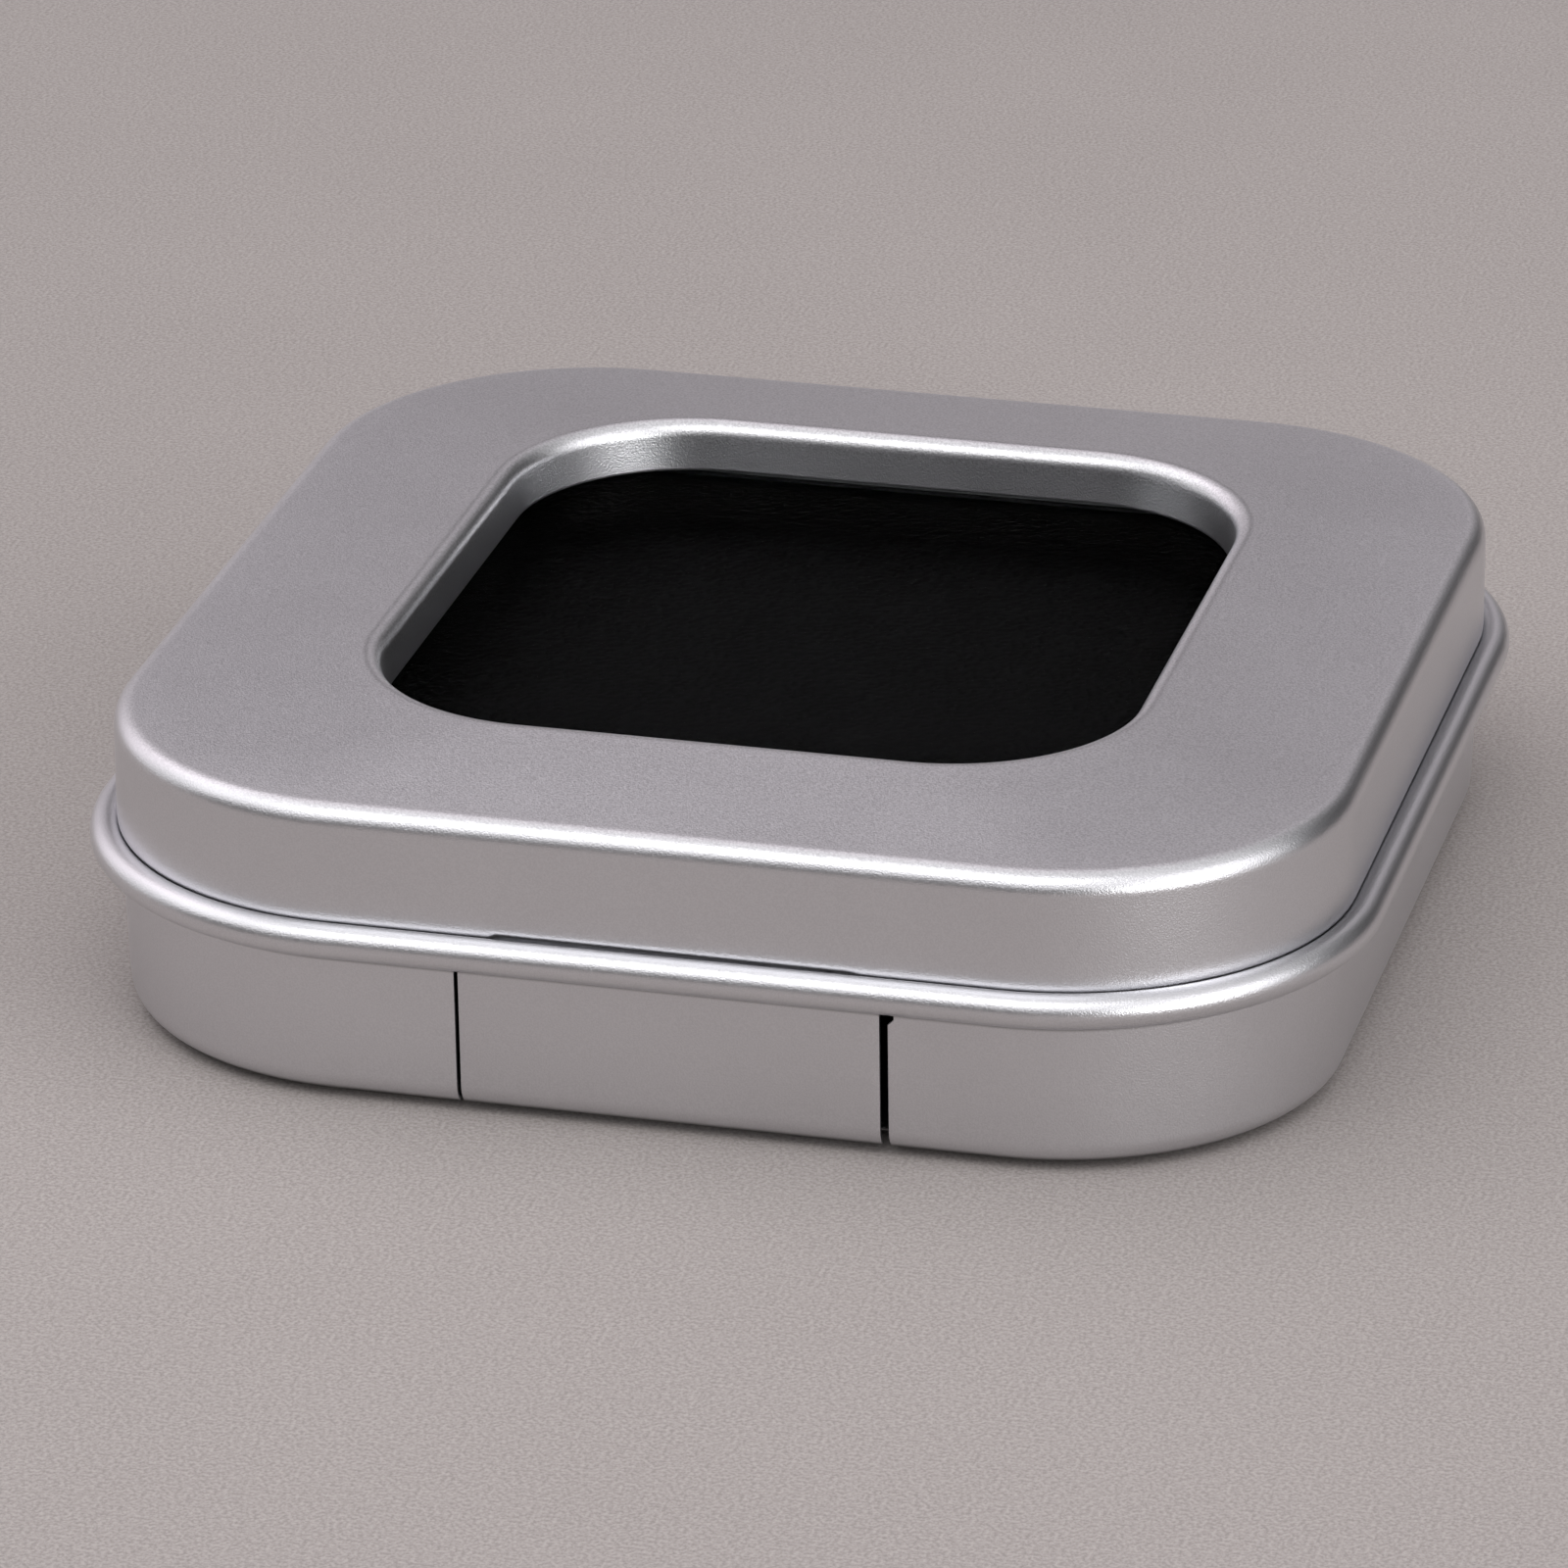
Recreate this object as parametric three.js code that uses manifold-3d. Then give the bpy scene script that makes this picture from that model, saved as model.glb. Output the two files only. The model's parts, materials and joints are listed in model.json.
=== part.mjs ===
// Pressed tin case for gemstones, with a window in its hinged lid.
// Millimetres, +Z up, origin at the middle of the underside, hinge along the +Y side.
// The base's rolled rim bead is the hinge rod, and a flap of the lid's own sheet is the hinge leaf.

import * as THREE from 'three';
import { mergeVertices } from 'three/addons/utils/BufferGeometryUtils.js';
import Module from 'manifold-3d';

const wasm = await Module();
wasm.setup();

// Sheet and outline
const SHEET = 0.3; // tinplate thickness
const LID_WIDTH = 86; // square lid, over its skirt
const CORNER_RADIUS = 20; // plan radius of the skirt's outer face

// Base
const BEAD_DIAMETER = 2.4; // rolled rim, over the sheet
const BEAD_HEIGHT = 12.45; // bead centre above the table
const BEAD_CURL = THREE.MathUtils.degToRad(300); // how far the rim is rolled round
const WALL_INSET = 0.2; // base wall behind the lid's skirt
const WALL_DRAFT = 0.4; // how much the base wall draws in towards its foot
const BOTTOM_RADIUS = 1.8; // outer rounding between wall and floor
const STAND_RISE = 0.4; // floor's margin above the panel that the case stands on
const STAND_MARGIN = 3; // width of that margin

// Lid
const LID_EDGE_HEIGHT = 21.75; // lid top at its outer edge
const EDGE_RADIUS = 1.5; // outer rounding between top panel and skirt
const CROWN = 1.4; // rise of the top panel from its edge to the window
const WINDOW_WIDTH = 52.8; // along X, between the turned-down lips
const WINDOW_LENGTH = 57; // along Y
const WINDOW_CORNER = 12.9; // plan radius of the lip's inner face
const LIP_RADIUS = 1.2; // bend at the window's rim
const LIP_DEPTH = 3.5; // rim to the lip's lower edge

// Hinge
const HINGE_CLEARANCE = 0.2; // lid sheet to bead
const PLUG_CLEARANCE = 0.25; // lid's stepped-in plug to the base wall
const PLUG_SETBACK = 0.1; // plug's lower edge above the flap's step
const HINGE_OFFSET = -0.5; // middle of the flap from the middle of the rear side
const FLAP_WIDTH = 28.9;
const FLAP_INSET = 0.05; // flap's top behind the wall line at the bead
const FLAP_STEP_ANGLE = THREE.MathUtils.degToRad(60); // turn of each bend in the flap's step
const FLAP_CURL = THREE.MathUtils.degToRad(60); // how far the flap's end follows the lower rounding
const SLIT_NARROW = 0.25; // flap to base on the +X side
const SLIT_WIDE = 0.55; // flap to base on the -X side
const RELIEF_NARROW = 0.2; // corner relief at the top of the narrow slit
const RELIEF_WIDE = 0.6; // corner relief at the top of the wide slit
const RELIEF_HEIGHT = 9.95; // where the reliefs start, above the table
const BRIDGE_TAIL = 0.3; // wall left on the bead above the cut-out
const CUT_MARGIN = 0.15; // cut-out past the wall's outer face
const CUT_REACH = 1.5; // cut-out into the floor's margin
const NOTCH_WIDTH = 25.9; // raised stretch of the skirt's lower edge at the hinge
const NOTCH_OFFSET = -1.1; // its middle from the middle of the rear side
const NOTCH_TAPER = 1.2; // length of each sloping end
const NOTCH_RISE = 0.5;

// Window and insert
const PANE_THICKNESS = 0.5;
const PANE_OVERLAP = 5; // pane past the window opening, all round
const GASKET_SETBACK = 1; // tape frame behind the lip
const BOND = 0.1; // adhesive film between glued faces
const PAD_THICKNESS = 13.5;
const PAD_CLEARANCE = 1.1; // pad to the foot of the wall
const PAD_EDGE = 0.6; // softened edges of the pad
const SWING_CLEARANCE = 0.9; // pad to the path of the flap
const SWING_CORNER = 3; // inner corners of the pad's recess

// Facets
const CORNER_STEPS = 8; // segments in a quarter turn, seen from above
const ARC_STEP = THREE.MathUtils.degToRad(30); // turn of one segment in a sheet's section
const TINY = 1e-4;

// Lines of the section, measured outwards from the middle of a side
const lidHalf = LID_WIDTH / 2;
const windowHalf = WINDOW_LENGTH / 2;
const windowNarrowing = (WINDOW_LENGTH - WINDOW_WIDTH) / 2;
const beadRadius = BEAD_DIAMETER / 2;
const wallInner = lidHalf - WALL_INSET - SHEET;
const beadLine = wallInner + beadRadius;
const wallTop = wallInner + SHEET / 2;
const wallFoot = wallTop - WALL_DRAFT;
const floorHalf = wallFoot + SHEET / 2 - BOTTOM_RADIUS;
const standHalf = floorHalf - STAND_MARGIN;
const roundingHeight = STAND_RISE + BOTTOM_RADIUS;
const skirtLine = lidHalf - SHEET / 2;
const plugLine = wallInner - PLUG_CLEARANCE - SHEET / 2;
const rimHeight = LID_EDGE_HEIGHT + CROWN;
const lipEnd = rimHeight - LIP_DEPTH;
const paneTop = lipEnd - BOND;
const paneHalf = windowHalf + PANE_OVERLAP;
const padHalf = wallFoot - SHEET / 2 - PAD_CLEARANCE;
const flapRight = HINGE_OFFSET + FLAP_WIDTH / 2;
const flapLeft = HINGE_OFFSET - FLAP_WIDTH / 2;

/** Height above the bead's centre at which a circle of this radius, on this line, just clears the bead. */
function clearHeight(line, radius) {
  return Math.sqrt((beadRadius + HINGE_CLEARANCE + radius) ** 2 - (beadLine - line) ** 2);
}

// The skirt's shoulder: two quarter bends that step the sheet in from skirt to plug
const shoulderBend = (skirtLine - plugLine) / 2;
const shoulderTop = BEAD_HEIGHT + clearHeight(skirtLine - shoulderBend, shoulderBend + SHEET / 2);
const shoulderFoot = shoulderTop - 2 * shoulderBend;

// The flap's step: two bends that bring the sheet out again below the bead
const flapLine = wallTop - FLAP_INSET;
const stepBend = (flapLine - plugLine) / 2 / (1 - Math.cos(FLAP_STEP_ANGLE));
const stepFoot = BEAD_HEIGHT - clearHeight(flapLine - stepBend, stepBend + SHEET / 2);
const stepTop = stepFoot + 2 * stepBend * Math.sin(FLAP_STEP_ANGLE);
const plugEnd = stepTop + PLUG_SETBACK;
const flapEndLine = floorHalf + BOTTOM_RADIUS * Math.cos(FLAP_CURL);
const flapEndHeight = roundingHeight - BOTTOM_RADIUS * Math.sin(FLAP_CURL);
const flapReach = Math.hypot(beadLine - flapEndLine, BEAD_HEIGHT - flapEndHeight);

// The top panel: a straight run, tangent to the bends at the window's rim and the outer edge
const lipBend = { line: windowHalf + LIP_RADIUS, z: rimHeight - LIP_RADIUS, radius: LIP_RADIUS - SHEET / 2 };
const edgeBend = { line: lidHalf - EDGE_RADIUS, z: LID_EDGE_HEIGHT - EDGE_RADIUS, radius: EDGE_RADIUS - SHEET / 2 };
const panelRun = edgeBend.line - lipBend.line;
const panelDrop = lipBend.z - edgeBend.z;
const panelTilt = Math.asin((lipBend.radius - edgeBend.radius) / Math.hypot(panelRun, panelDrop))
  + Math.atan2(panelDrop, panelRun);

/** Plan radius of the case's corners on a given line: all corners share their centres. */
function caseCorner(line) {
  return CORNER_RADIUS + line - lidHalf;
}

/** Plan radius of the window's corners on a given line. */
function windowCorner(line) {
  return WINDOW_CORNER + line - windowHalf;
}

/** Plan radius across the top panel, which turns the window's corners into the case's. */
function panelCorner(line) {
  const share = (line - lipBend.line) / panelRun;
  return THREE.MathUtils.lerp(windowCorner(lipBend.line), caseCorner(edgeBend.line), share);
}

/** How much less the top panel reaches along X than along Y on a given line: the window's share dies out. */
function panelNarrowing(line) {
  return windowNarrowing * (1 - (line - lipBend.line) / panelRun);
}

/** Height of the top panel's underside on a given line. */
function panelUnderside(line) {
  const nearRim = lipBend.z + (lipBend.radius - SHEET / 2) / Math.cos(panelTilt);
  return nearRim - (line - lipBend.line) * Math.tan(panelTilt);
}

/** Rectangle with round corners as a shape, narrower along X, with extra points at shares of its rear side. */
function roundedRectangle(half, radius, narrowing = 0, rearShares = []) {
  const x = half - narrowing - radius;
  const y = half - radius;
  const quarter = Math.PI / 2;
  const shape = new THREE.Shape();
  shape.absarc(x, y, radius, 0, quarter);
  for (const share of rearShares) shape.lineTo(share * x, half);
  shape.absarc(-x, y, radius, quarter, 2 * quarter);
  shape.absarc(-x, -y, radius, 2 * quarter, 3 * quarter);
  shape.absarc(x, -y, radius, 3 * quarter, 4 * quarter);
  return shape;
}

/** Points along a section line: straight runs keep their ends, and arcs are split into even steps. */
function sampleLine(path) {
  const points = [];
  for (const curve of path.curves) {
    const turn = curve.isEllipseCurve ? Math.abs(curve.aEndAngle - curve.aStartAngle) : 0;
    for (const point of curve.getPoints(Math.max(1, Math.ceil(turn / ARC_STEP - TINY)))) {
      const last = points.at(-1);
      if (!last || last.distanceTo(point) > TINY) points.push(point);
    }
  }
  return points;
}

/** Section of a sheet along a line: out along its left face and back along its right face. */
function sheetSection(path) {
  const line = sampleLine(path);
  const left = [];
  const right = [];
  line.forEach((point, i) => {
    const before = line[i - 1] ?? point.clone().multiplyScalar(2).sub(line[i + 1]);
    const after = line[i + 1] ?? point.clone().multiplyScalar(2).sub(line[i - 1]);
    const into = point.clone().sub(before).normalize();
    const away = after.clone().sub(point).normalize();
    const mitre = new THREE.Vector2(-into.y - away.y, into.x + away.x).divideScalar(1 + into.dot(away));
    left.push(point.clone().addScaledVector(mitre, SHEET / 2));
    right.unshift(point.clone().addScaledVector(mitre, -SHEET / 2));
  });
  return [...left, ...right];
}

/** Skin over a run of loops with equal point counts: joined end to end, or closed by a fan at each end. */
function skin(loops, ring) {
  const count = loops[0].length;
  const points = loops.flat();
  const index = [];
  const at = (i, j) => (i % loops.length) * count + (j % count);
  for (let i = 0; i < loops.length - (ring ? 0 : 1); i += 1) {
    for (let j = 0; j < count; j += 1) {
      index.push(at(i, j), at(i + 1, j), at(i + 1, j + 1), at(i, j), at(i + 1, j + 1), at(i, j + 1));
    }
  }
  if (!ring) {
    const last = loops.length - 1;
    points.push(new THREE.Vector3(0, 0, loops[0][0].z), new THREE.Vector3(0, 0, loops[last][0].z));
    for (let j = 0; j < count; j += 1) {
      index.push(points.length - 2, at(0, j), at(0, j + 1));
      index.push(points.length - 1, at(last, j + 1), at(last, j));
    }
  }
  return new THREE.BufferGeometry().setFromPoints(points).setIndex(index);
}

/** Loops of a section carried round a rectangle with round corners; lift raises a loop's notched stretch. */
function carryRound(section, corner, narrowing = () => 0, rearShares = [], lift = () => 0) {
  return section.map((point) => {
    const outline = roundedRectangle(point.x, corner(point.x), narrowing(point.x), rearShares);
    const plan = outline.getPoints(CORNER_STEPS / 2);
    const inNotch = (p) => p.y > 0 && Math.abs(p.x - NOTCH_OFFSET) < NOTCH_WIDTH / 2 - TINY;
    return plan.map((p) => new THREE.Vector3(p.x, p.y, point.y + (inNotch(p) ? lift(point.y) : 0)));
  });
}

/** Closed geometry as a solid that can be joined and cut. */
function solidOf(geometry) {
  const bare = geometry.clone();
  bare.deleteAttribute('normal');
  bare.deleteAttribute('uv');
  const merged = mergeVertices(bare, TINY);
  return new wasm.Manifold(new wasm.Mesh({
    numProp: 3,
    vertProperties: merged.attributes.position.array,
    triVerts: Uint32Array.from(merged.index.array),
  }));
}

/** Solid as a geometry. */
function geometryOf(solid) {
  const { vertProperties, triVerts } = solid.getMesh();
  const geometry = new THREE.BufferGeometry();
  geometry.setAttribute('position', new THREE.BufferAttribute(vertProperties, 3));
  geometry.setIndex(new THREE.BufferAttribute(triVerts, 1));
  return geometry;
}

/** Prism of an outline in the XZ plane, from y near to y far. */
function prism(outline, near, far) {
  const shape = new THREE.Shape(outline.map(([x, z]) => new THREE.Vector2(x, z)));
  const geometry = new THREE.ExtrudeGeometry(shape, { depth: far - near, bevelEnabled: false });
  return geometry.rotateX(Math.PI / 2).translate(0, far, 0);
}

/** Drawn tray that stands on a pressed-down floor, its rim rolled outwards and its rear wall cut out for the flap. */
function baseTray() {
  const lean = Math.atan2(WALL_DRAFT, BEAD_HEIGHT - roundingHeight);
  const path = new THREE.Path();
  path.moveTo(standHalf - STAND_MARGIN, SHEET / 2);
  path.lineTo(standHalf, SHEET / 2);
  path.lineTo(standHalf + STAND_RISE, SHEET / 2 + STAND_RISE);
  path.lineTo(floorHalf, SHEET / 2 + STAND_RISE);
  path.absarc(floorHalf, roundingHeight, BOTTOM_RADIUS - SHEET / 2, -Math.PI / 2, -lean);
  path.absarc(beadLine, BEAD_HEIGHT, beadRadius - SHEET / 2, Math.PI, Math.PI - BEAD_CURL, true);
  const tray = skin(carryRound(sheetSection(path), caseCorner), false);

  const right = flapRight + SLIT_NARROW;
  const left = flapLeft - SLIT_WIDE;
  const top = BEAD_HEIGHT - BRIDGE_TAIL;
  const cutOut = prism([
    [left, -SHEET],
    [right, -SHEET],
    [right, RELIEF_HEIGHT],
    [right + RELIEF_NARROW, RELIEF_HEIGHT + RELIEF_NARROW],
    [right + RELIEF_NARROW, top],
    [left - RELIEF_WIDE, top],
    [left - RELIEF_WIDE, RELIEF_HEIGHT + RELIEF_WIDE],
    [left, RELIEF_HEIGHT],
  ], floorHalf - CUT_REACH, wallInner + SHEET + CUT_MARGIN);
  return geometryOf(solidOf(tray).subtract(solidOf(cutOut)));
}

/** Drawn lid: window lip, top panel, skirt, plug and hinge flap in one sheet. */
function lidShell() {
  const quarter = Math.PI / 2;
  const path = new THREE.Path();
  path.moveTo(windowHalf + SHEET / 2, lipEnd);
  path.lineTo(windowHalf + SHEET / 2, lipBend.z);
  path.absarc(lipBend.line, lipBend.z, lipBend.radius, 2 * quarter, quarter - panelTilt, true);
  path.absarc(edgeBend.line, edgeBend.z, edgeBend.radius, quarter - panelTilt, 0, true);
  path.absarc(skirtLine - shoulderBend, shoulderTop, shoulderBend, 0, -quarter, true);
  path.absarc(plugLine + shoulderBend, shoulderFoot, shoulderBend, quarter, 2 * quarter);
  path.absarc(plugLine + stepBend, stepTop, stepBend, 2 * quarter, 2 * quarter + FLAP_STEP_ANGLE);
  path.absarc(flapLine - stepBend, stepFoot, stepBend, FLAP_STEP_ANGLE, 0, true);
  path.absarc(floorHalf, roundingHeight, BOTTOM_RADIUS - SHEET / 2, 0, -FLAP_CURL, true);

  const middle = (windowHalf + lidHalf) / 2;
  const corner = (line) => (line < middle ? windowCorner(line) : caseCorner(line));
  const narrowing = (line) => (line < middle ? windowNarrowing : 0);
  const notchEnd = NOTCH_WIDTH / 2;
  const notchRun = notchEnd - NOTCH_TAPER;
  const rearHalf = lidHalf - CORNER_RADIUS;
  const rearShares = [notchEnd, notchRun, -notchRun, -notchEnd].map((x) => (NOTCH_OFFSET + x) / rearHalf);
  const inShoulder = (z) => z > shoulderFoot - SHEET / 2 && z < shoulderTop + SHEET / 2;
  const lift = (z) => (inShoulder(z) ? NOTCH_RISE : 0);
  const shell = solidOf(skin(carryRound(sheetSection(path), corner, narrowing, rearShares, lift), true));

  const belowPlug = new THREE.BoxGeometry(2 * LID_WIDTH, 2 * LID_WIDTH, 2 * plugEnd);
  const flapColumn = new THREE.BoxGeometry(FLAP_WIDTH, LID_WIDTH, 4 * plugEnd);
  flapColumn.translate(HINGE_OFFSET, lidHalf, 0);
  return geometryOf(shell.subtract(solidOf(belowPlug).subtract(solidOf(flapColumn))));
}

/** Clear sheet under the window lip. */
function windowPane() {
  const shape = roundedRectangle(paneHalf, panelCorner(paneHalf), panelNarrowing(paneHalf));
  const options = { depth: PANE_THICKNESS, bevelEnabled: false, curveSegments: CORNER_STEPS / 2 };
  return new THREE.ExtrudeGeometry(shape, options).translate(0, 0, paneTop - PANE_THICKNESS);
}

/** Tape frame between the pane and the sloping underside of the top panel. */
function windowGasket() {
  const inner = windowHalf + SHEET + GASKET_SETBACK;
  const section = [
    [inner, panelUnderside(inner) - BOND],
    [paneHalf, panelUnderside(paneHalf) - BOND],
    [paneHalf, paneTop + BOND],
    [inner, paneTop + BOND],
  ].map(([line, z]) => new THREE.Vector2(line, z));
  return skin(carryRound(section, panelCorner, panelNarrowing), true);
}

/** Foam insert on the floor's margin, with a recess that clears the flap as it swings in. */
function foamPad() {
  const quarter = Math.PI / 2;
  const radius = caseCorner(padHalf);
  const centre = padHalf - radius;
  const right = flapRight + SWING_CLEARANCE;
  const left = flapLeft - SWING_CLEARANCE;
  const bottom = beadLine - flapReach - SWING_CLEARANCE + SWING_CORNER;
  const shape = new THREE.Shape();
  shape.absarc(centre, centre, radius, 0, quarter);
  shape.lineTo(right, padHalf);
  shape.absarc(right - SWING_CORNER, bottom, SWING_CORNER, 0, -quarter, true);
  shape.absarc(left + SWING_CORNER, bottom, SWING_CORNER, -quarter, -2 * quarter, true);
  shape.lineTo(left, padHalf);
  shape.absarc(-centre, centre, radius, quarter, 2 * quarter);
  shape.absarc(-centre, -centre, radius, 2 * quarter, 3 * quarter);
  shape.absarc(centre, -centre, radius, 3 * quarter, 4 * quarter);
  return new THREE.ExtrudeGeometry(shape, {
    depth: PAD_THICKNESS - 2 * PAD_EDGE,
    bevelThickness: PAD_EDGE,
    bevelSize: PAD_EDGE,
    bevelOffset: -PAD_EDGE,
    bevelSegments: 2,
    curveSegments: CORNER_STEPS / 2,
  }).translate(0, 0, STAND_RISE + SHEET + BOND + PAD_EDGE);
}

const tinplate = { color: 0xb9b6b9, roughness: 0.38, metalness: 1 };
const clearSheet = { color: 0xf4f6f6, roughness: 0.05, metalness: 0, transparent: true, opacity: 0.25 };
const tape = { color: 0x1a1a1b, roughness: 0.9, metalness: 0 };
const foam = { color: 0x101011, roughness: 0.95, metalness: 0 };

const tinCase = new THREE.Group();
for (const [name, geometry, finish] of [
  ['base_tray', baseTray(), tinplate],
  ['lid_shell', lidShell(), tinplate],
  ['window_pane', windowPane(), clearSheet],
  ['window_gasket', windowGasket(), tape],
  ['foam_pad', foamPad(), foam],
]) {
  const mesh = new THREE.Mesh(geometry, new THREE.MeshStandardMaterial(finish));
  mesh.name = name;
  tinCase.add(mesh);
}

export default tinCase;
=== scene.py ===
"""Looks of a pressed tin gemstone case: satin tin shells, a clear window and a black foam pad.

Metres, +Z up, hinge along the +Y side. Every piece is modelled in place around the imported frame.
"""

import json
import logging
import math
from dataclasses import dataclass, field
from enum import Enum
from typing import Any, Callable, ClassVar, Sequence

import bmesh
import bpy
from mathutils import Matrix, Vector

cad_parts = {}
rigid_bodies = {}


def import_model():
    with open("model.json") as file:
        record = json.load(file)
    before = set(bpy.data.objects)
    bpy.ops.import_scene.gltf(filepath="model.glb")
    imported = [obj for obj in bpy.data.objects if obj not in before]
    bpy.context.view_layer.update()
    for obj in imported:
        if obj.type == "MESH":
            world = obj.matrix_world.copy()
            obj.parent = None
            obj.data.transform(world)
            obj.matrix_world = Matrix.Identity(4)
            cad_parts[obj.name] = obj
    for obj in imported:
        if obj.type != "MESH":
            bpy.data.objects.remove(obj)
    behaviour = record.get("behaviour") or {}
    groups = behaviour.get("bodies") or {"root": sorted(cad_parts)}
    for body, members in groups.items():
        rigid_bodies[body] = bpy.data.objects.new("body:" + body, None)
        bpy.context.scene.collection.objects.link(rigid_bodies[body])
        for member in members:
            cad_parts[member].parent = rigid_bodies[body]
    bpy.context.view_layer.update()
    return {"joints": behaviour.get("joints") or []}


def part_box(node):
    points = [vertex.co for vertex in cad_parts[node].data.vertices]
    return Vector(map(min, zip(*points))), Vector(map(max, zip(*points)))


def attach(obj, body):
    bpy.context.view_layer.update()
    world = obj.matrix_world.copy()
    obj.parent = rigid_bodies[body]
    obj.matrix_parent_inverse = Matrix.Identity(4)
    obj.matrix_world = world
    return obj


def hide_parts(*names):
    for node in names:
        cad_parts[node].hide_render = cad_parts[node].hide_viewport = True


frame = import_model()

LOG = logging.getLogger("gemstone_case")
MM = 0.001
HAIR = 1e-6  # two points closer than this are one, and the pieces stay this far inside the CAD box
QUARTER = math.pi / 2
SHARP = math.radians(55)  # edges with a sharper turn than this are eased
X_AXIS = Vector((1, 0, 0))
Z_AXIS = Vector((0, 0, 1))

Colour = tuple[float, float, float]
Tint = Colour | bpy.types.NodeSocket
Place = Callable[[Vector], bool]
Step = tuple[float, float]  # where a smooth step is still 0, and where it reaches 1
Modifier = tuple[str, dict[str, Any]]


class Part(Enum):
    """What a test of place selects."""

    VERTICES = "VERT"
    FACES = "FACE"


class Body(Enum):
    """The moving bodies of the case."""

    BASE = "base"
    LID = "lid"


class Slot(Enum):
    """The record's material slots."""

    TINPLATE = "tinplate"
    CLEAR_SHEET = "clear_sheet"
    TAPE = "tape"
    FOAM = "foam"


def eased(width: float, segments: int = 2) -> Modifier:
    """Modifier that rounds off sharp edges.

    Args:
        width: how far the rounding reaches
        segments: how many faces make it

    Returns:
        its type and settings
    """
    settings = {"width": width, "segments": segments, "limit_method": "ANGLE", "angle_limit": SHARP}
    return "BEVEL", settings


class Bench:
    """One mesh on the work bench, modelled in edit mode from single vertices of a primitive."""

    def __init__(self, name: str) -> None:
        """Open a new empty mesh at the origin.

        Args:
            name: the piece's name
        """
        bpy.ops.object.select_all(action="DESELECT")
        bpy.ops.mesh.primitive_plane_add(size=MM)
        self.item = bpy.context.active_object
        self.item.name = name
        self.item.data.name = name
        self.pen = Vector()
        bpy.ops.object.mode_set(mode="EDIT")
        bpy.ops.mesh.delete(type="VERT")

    def start(self, point: Vector) -> None:
        """Put the pen down: one new selected vertex.

        Args:
            point: where it goes
        """
        bpy.ops.mesh.select_mode(type="VERT")
        bpy.ops.mesh.select_all(action="DESELECT")
        bpy.ops.mesh.primitive_plane_add(size=MM, location=point)
        bpy.ops.mesh.merge(type="CENTER")
        self.pen = point.copy()

    def run(self, step: Vector) -> None:
        """Extrude what is selected along a straight step."""
        bpy.ops.mesh.extrude_region_move(TRANSFORM_OT_translate={"value": step})
        self.pen += step

    def bend(self, centre: Vector, axis: Vector, angle: float, steps: int) -> None:
        """Spin what is selected round a centre.

        Args:
            centre: a point on the axis
            axis: the axis, which the angle turns round by the right hand
            angle: the whole turn
            steps: how many faces make it
        """
        bpy.ops.mesh.spin(steps=steps, angle=-angle, center=centre, axis=axis, use_auto_merge=False)
        self.pen = centre + Matrix.Rotation(angle, 3, axis) @ (self.pen - centre)

    def line_to(self, line: float, z: float, support: float = 0.0) -> None:
        """Draw a section on in a straight run, in the plane that the pen is in.

        Args:
            line: distance from the middle of the case
            z: height
            support: how close to each end an extra point keeps the run flat, or 0
        """
        whole = Vector((self.pen.x, line, z)) - self.pen
        if support:
            near = whole.normalized() * support
            self.run(near)
            self.run(whole - 2 * near)
            self.run(near)
        else:
            self.run(whole)

    def arc(self, line: float, z: float, angle: float, steps: int) -> None:
        """Draw a section on in an arc.

        Args:
            line: the centre's distance from the middle of the case
            z: the centre's height
            angle: the turn, positive from outwards to upwards
            steps: how many edges make it
        """
        self.bend(Vector((self.pen.x, line, z)), X_AXIS, angle, steps)

    def carry_round(self, centre: Vector, stations: Sequence[float], steps: int) -> None:
        """Carry the drawn section round a rectangle with round corners, back to where it began.

        The section stands at the +X end of the rear side's straight run.

        Args:
            centre: the +X +Y corner's centre
            stations: x of extra lines across the rear side, from +X to -X
            steps: faces in each corner
        """
        bpy.ops.mesh.select_linked()
        here = centre.x
        for x in [*stations, -centre.x]:
            self.run(Vector((x - here, 0, 0)))
            here = x
        self.close_round(centre, steps)

    def close_round(self, centre: Vector, steps: int) -> None:
        """Carry what is selected on from the rear side's -X end round all four corners, and weld the seam.

        Args:
            centre: the +X +Y corner's centre
            steps: faces in each corner
        """
        corners = ((-1, 1), (-1, -1), (1, -1), (1, 1))
        runs = (Vector((0, -2 * centre.y, 0)), Vector((2 * centre.x, 0, 0)), Vector((0, 2 * centre.y, 0)))
        for number, (x, y) in enumerate(corners):
            self.bend(Vector((x * centre.x, y * centre.y, 0)), Z_AXIS, QUARTER, steps)
            if number < len(runs):
                self.run(runs[number])
        bpy.ops.mesh.select_all(action="SELECT")
        bpy.ops.mesh.remove_doubles(threshold=HAIR)

    def plate(self, half: Vector, radius: float, z: float, steps: int) -> None:
        """Add a rectangular face with round corners, and leave it selected.

        Args:
            half: half its width and half its length
            radius: radius of its corners
            z: its height
            steps: edges in each corner
        """
        bpy.ops.mesh.select_mode(type="VERT")
        bpy.ops.mesh.select_all(action="DESELECT")
        bpy.ops.mesh.primitive_plane_add(size=2 * half.x, location=(0, 0, z))
        bpy.ops.transform.resize(value=(1, half.y / half.x, 1))
        bpy.ops.mesh.bevel(affect="VERTICES", offset=radius, segments=steps, profile=0.5)
        bpy.ops.mesh.select_mode(type="FACE")
        bpy.ops.mesh.select_all(action="SELECT")

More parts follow.
